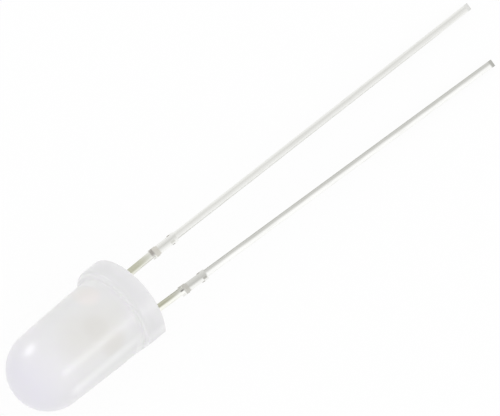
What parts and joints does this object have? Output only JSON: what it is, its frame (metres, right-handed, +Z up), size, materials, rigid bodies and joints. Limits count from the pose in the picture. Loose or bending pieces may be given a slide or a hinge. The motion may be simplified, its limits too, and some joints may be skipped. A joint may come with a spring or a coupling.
{
  "type": "through hole led",
  "caption": "Round through hole LED with a milky domed lens, a flange with a flat that marks the cathode, and long square leads, lying at rest.",
  "frame": {"origin": "on the ground under the middle of the part's box, with the LED lying on the rim of its flange and the tips of its leads", "axes": "+X runs along the part towards the dome, +Y towards the cathode's side with the flat, +Z up from the ground"},
  "size_m": [0.0384, 0.006, 0.006],
  "materials": {
    "lens_epoxy": "milky epoxy with a moulded gloss",
    "tinned_lead": "bright tinned steel, dull olive grey next to the seat",
    "chip": "polished semiconductor",
    "adhesive": "silver filled epoxy",
    "gold_wire": "drawn gold wire"
  },
  "bodies": {
    "root": {"lens": "lens_epoxy", "cathode_lead": "tinned_lead", "anode_lead": "tinned_lead", "led_chip": "chip", "chip_adhesive": "adhesive", "bond_wire": "gold_wire"}
  },
  "joints": []
}
